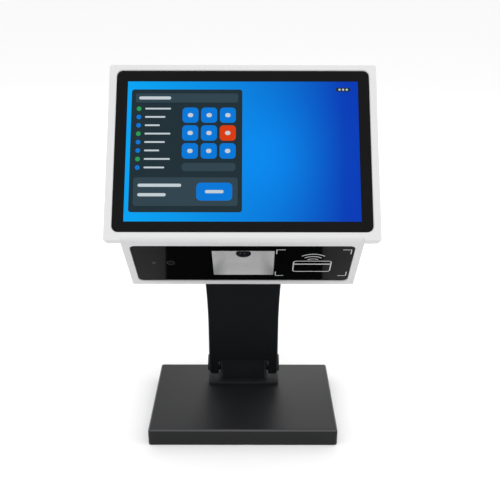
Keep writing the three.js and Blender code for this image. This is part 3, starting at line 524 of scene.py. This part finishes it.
# Camera and its ring, presence sensor, scan engine and speakers: a dark lens and small black
# mouldings, seated in the panel's holes, behind the hood and behind the rear cover's grilles.
dress(["camera_module"], dark_lens, 0.0002)
moulded = Finish("black moulding", {"Roughness": 0.5, "Specular IOR Level": 0.3})
moulded_cloud = moulded.noise(60.0, 3)
moulded.feed("Base Color", moulded.mix(moulded_cloud, (0.014, 0.014, 0.015), (0.020, 0.020, 0.021)))
moulded.feed("Roughness", 0.45 + 0.12 * moulded_cloud)
moulded.relief(moulded.noise(1500.0), 0.00002, 0.5)
inside_plastic = ["camera_ring", "presence_sensor", "scan_engine", "speaker_left", "speaker_right"]
dress(inside_plastic, moulded, 0.0002)


# Electronics in the head: display module and its steel tray, green boards with their parts, a sawn
# aluminium heat sink and zinc plated sockets. The sockets look out through the rear cover.
casing = Finish("display casing", {"Roughness": 0.55, "Specular IOR Level": 0.3})
casing_cloud = casing.noise(80.0, 3)
casing.feed("Base Color", casing.mix(casing_cloud, (0.045, 0.045, 0.05), (0.06, 0.06, 0.065)))
dress(["lcd_panel"], casing)

zinc = Finish("bright zinc plate", {"Metallic": 1.0, "Roughness": 0.35})
spangle = zinc.noise(500.0, 3, 0.6, (1, 0.2, 1))
zinc.feed("Base Color", zinc.mix(spangle, (0.46, 0.46, 0.47), (0.58, 0.58, 0.60)))
zinc.feed("Roughness", 0.28 + 0.16 * spangle)
dress(["panel_tray", "usb_socket_1", "usb_socket_2"], zinc, 0.0001)

mask_green = Finish("green solder mask", {"Roughness": 0.4, "Specular IOR Level": 0.4})
tracks = abs(mask_green.noise(420.0, 1) - 0.5) < 0.03
mask_green.feed("Base Color", mask_green.mix(tracks, (0.012, 0.085, 0.035), (0.03, 0.16, 0.07)))
mask_green.relief(tracks, 0.00003, 0.6)
dress(["mainboard", "card_antenna_board", "power_switch"], mask_green)

sawn = Finish("sawn aluminium", {"Metallic": 1.0, "Roughness": 0.4})
drawn = sawn.noise(300.0, 3, 0.6, (8, 8, 0.3))
sawn.feed("Base Color", sawn.mix(drawn, (0.55, 0.56, 0.57), (0.66, 0.67, 0.68)))
sawn.feed("Roughness", 0.3 + 0.2 * drawn)
dress(["heat_sink"], sawn)


# Rear cover: a flat moulded plate of the housing's white, held by five blackened screws. It carries
# the vents, the sockets, the power button and a blank rating plate.
rear_lean = -16.4207
rear = Matrix.Translation((0, 0.0108178, 0.1389439)) @ Matrix.Rotation(
    math.radians(rear_lean), 4, "X"
)
dress(["power_button", "dc_inlet"], moulded, 0.0002)

zinc_black = Finish("blackened steel", {"Metallic": 1.0, "Roughness": 0.42})
bloom = zinc_black.noise(350.0, 3, 0.6)
zinc_black.feed("Base Color", zinc_black.mix(bloom, (0.035, 0.035, 0.037), (0.065, 0.065, 0.068)))
zinc_black.feed("Roughness", 0.36 + 0.14 * bloom)

cover_screws = bmesh.new()
screw_side = 0.1
screw_low = 0.012
screw_high = 0.183
screw_radius = 0.0028
screw_round = screw_radius - 1e-6
rim_depths = (0.0009, -0.0003)
crown_size = 0.0046
crown_round = 0.00229
crown_depths = (0.0012, 0.0006)
slot_length = 0.0032
slot_width = 0.0007
slot_corner = 0.0001
slot_depths = (0.00125, 0.001)
for screw_x in (-screw_side, 0, screw_side):
    for screw_z in (screw_low, screw_high):
        # There is no screw at the bottom middle, where the head's bracket is
        if (screw_x, screw_z) == (0, screw_low):
            continue
        rim = rounded(screw_x, screw_z, 2 * screw_radius, 2 * screw_radius, screw_round, 6)
        crown = rounded(screw_x, screw_z, crown_size, crown_size, crown_round, 6)
        press(cover_screws, rim, *rim_depths, rear)
        press(cover_screws, crown, *crown_depths, rear)
        for slot_size in ((slot_length, slot_width), (slot_width, slot_length)):
            slot_outline = rounded(screw_x, screw_z, *slot_size, slot_corner, 1)
            press(cover_screws, slot_outline, *slot_depths, rear)
build("rear_cover_screws", cover_screws, zinc_black, "head")

label = bmesh.new()
label_z = 0.098
label_width = 0.058
label_height = 0.036
label_corner = 0.002
label_depths = (0.00018, -0.0001)
press(label, rounded(0, label_z, label_width, label_height, label_corner), *label_depths, rear)
label_foil = Finish("blank rating plate", {"Metallic": 0.7, "Roughness": 0.35})
label_foil.feed(
    "Base Color", label_foil.mix(label_foil.noise(700.0, 2), (0.52, 0.53, 0.54), (0.62, 0.63, 0.64))
)
build("rating_plate", label, label_foil, "head")


# Column: 2 mm steel sheet, cut, folded and powder coated a fine satin black, with a flat cover set
# in its back. The folds are painted a little paler, a painted highlight where they catch the light.
# The head's bracket is coated like the column.
coat = Finish("satin black powder coat", {"Roughness": 0.5, "Specular IOR Level": 0.075})
coat_cloud = coat.noise(18.0, 3, 0.55)
orange_peel = coat.noise(900.0, 3, 0.6)
column_half = 0.0367
flare_low = 0.0865
flare_high = 0.1607
flare_width = 0.0025
# The band just inside each fold is painted paler: a painted highlight where the fold catches the
# light
highlight_band = (-0.0014, -0.0004)
flare = flare_width * coat.rise(coat.spread((0, 0, 1)), flare_low, flare_high)
past_fold = abs(coat.spread((1, 0, 0))) - flare - column_half
fold_highlight = coat.rise(past_fold, *highlight_band) * (0.4 + coat_cloud)
sprayed = coat.mix(coat_cloud, (0.0036, 0.0041, 0.0050), (0.0056, 0.0062, 0.0074))
coat.feed("Base Color", coat.mix(fold_highlight, sprayed, (0.034, 0.035, 0.037)))
coat.feed("Roughness", 0.40 + 0.12 * coat_cloud)
coat.relief(orange_peel, 0.00006, 0.5)
dress(["column_channel", "head_bracket"], coat, 0.0003)
dress(["column_cover"], coat, 0.0002)


# Hinges: a flat headed steel bolt with a hexagon socket in each side, clamped by a nut over a
# blackened bush and a friction washer, so that head and column stay where they are put.
bolt_coat = Finish("black oxide bolts", {"Roughness": 0.42, "Specular IOR Level": 0.2})
bolt_cloud = bolt_coat.noise(120.0, 3)
bolt_tone = bolt_coat.mix(bolt_cloud, (0.007, 0.007, 0.008), (0.012, 0.012, 0.013))
bolt_coat.feed("Base Color", bolt_tone)
bolt_coat.feed("Roughness", 0.34 + 0.14 * bolt_cloud)
for hinge in ("head_hinge", "foot_hinge"):
    for side in ("left", "right"):
        dress([f"{hinge}_bolt_{side}"], bolt_coat, 0.0004, sharp=50)
        dress([f"{hinge}_bush_{side}"], zinc_black, 0.0002)
        dress([f"{hinge}_washer_{side}"], moulded, 0.0001)
        dress([f"{hinge}_nut_{side}"], zinc, 0.0003)
dress([f"bracket_screw_{number}" for number in (1, 2, 3, 4)], zinc, 0.0003, sharp=50)


# Foot: a folded bracket on a flat plate, both coated like the column, and drawn down onto the base
# by four screws from below.
bend_gloss = {"Roughness": 0.45, "Specular IOR Level": 0.2}
bent_coat = Finish("powder coat with painted highlights at the bends", bend_gloss)
bent_cloud = bent_coat.noise(40.0, 3, 0.55)
# A narrow band along each bend line is painted paler: a painted highlight where the folds catch the
# light
bend_place = 0.0236
bend_half = 0.0006
bend_highlight = abs(abs(bent_coat.spread((1, 0, 0))) - bend_place) < bend_half * (0.5 + bent_cloud)
bent_coat.feed("Base Color", bent_coat.mix(bend_highlight, (0.009, 0.0098, 0.0115), (0.05, 0.051, 0.053)))
bent_coat.relief(bent_coat.noise(900.0, 3, 0.6), 0.00006, 0.5)
dress(["foot_bracket"], bent_coat, 0.0003)

plate_gloss = {"Roughness": 0.5, "Specular IOR Level": 0.1}
plate_coat = Finish("powder coat with a painted highlight at the front edge", plate_gloss)
# The last part of the plate towards its front edge is painted paler: a painted highlight along the
# edge
front_edge = (-0.0152, -0.0144)
front_highlight = plate_coat.rise(plate_coat.spread((0, -1, 0)), *front_edge)
plate_cloud = plate_coat.noise(40.0, 3, 0.55)
plate_tone = plate_coat.mix(0.4 + 0.4 * plate_cloud, (0.009, 0.010, 0.012), (0.016, 0.017, 0.019))
plate_coat.feed("Base Color", plate_coat.mix(front_highlight, plate_tone, (0.023, 0.024, 0.026)))
plate_coat.relief(plate_coat.noise(900.0, 3, 0.6), 0.00006, 0.5)
dress(["foot_plate"], plate_coat, 0.0004)
dress([f"foot_screw_{number}" for number in (1, 2, 3, 4)], zinc)


# Base: a shallow tray of folded and welded 2 mm steel, coated black, over a thick steel plate for
# weight. A thin plate closes it from below, and it stands on four rubber feet.
base_gloss = {"Roughness": 0.5, "Specular IOR Level": 0.27}
base_coat = Finish("satin black powder coat on the base", base_gloss)
base_cloud = base_coat.noise(16.0, 3, 0.55)
height = base_coat.spread((0, 0, 1))
# A thin band on the rounded top edges is painted paler and made glossier: a painted highlight along
# the edges
highlight_low = (0.0160, 0.0169)
highlight_high = (0.0175, 0.01785)
edge_highlight = base_coat.rise(height, *highlight_low) * (1 - base_coat.rise(height, *highlight_high))
painted = base_coat.mix(0.5 * base_cloud, (0.0035, 0.0038, 0.0046), (0.0125, 0.0130, 0.0142))
base_coat.feed("Base Color", base_coat.mix(edge_highlight, painted, (0.062, 0.063, 0.066)))
base_coat.feed("Roughness", 0.40 + 0.12 * base_cloud - 0.16 * edge_highlight)
base_coat.relief(base_coat.noise(900.0, 3, 0.6), 0.00006, 0.5)
dress(["base_tray", "base_bottom_plate"], base_coat, 0.0003)

rough_steel = Finish("rough steel plate", {"Metallic": 1.0, "Roughness": 0.5})
scale_marks = rough_steel.noise(90.0, 4, 0.65)
rough_steel.feed(
    "Base Color", rough_steel.mix(scale_marks, (0.22, 0.21, 0.20), (0.36, 0.35, 0.34))
)
rough_steel.feed("Roughness", 0.4 + 0.3 * scale_marks)
dress(["weight_plate"], rough_steel)

rubber = Finish("black rubber", {"Roughness": 0.85, "Specular IOR Level": 0.2})
rubber_cloud = rubber.noise(300.0, 3)
rubber.feed("Base Color", rubber.mix(rubber_cloud, (0.012, 0.012, 0.012), (0.02, 0.02, 0.02)))
rubber.relief(rubber.noise(1200.0, 2), 0.00004, 0.6)
dress([f"rubber_foot_{number}" for number in (1, 2, 3, 4)], rubber, 0.0003)
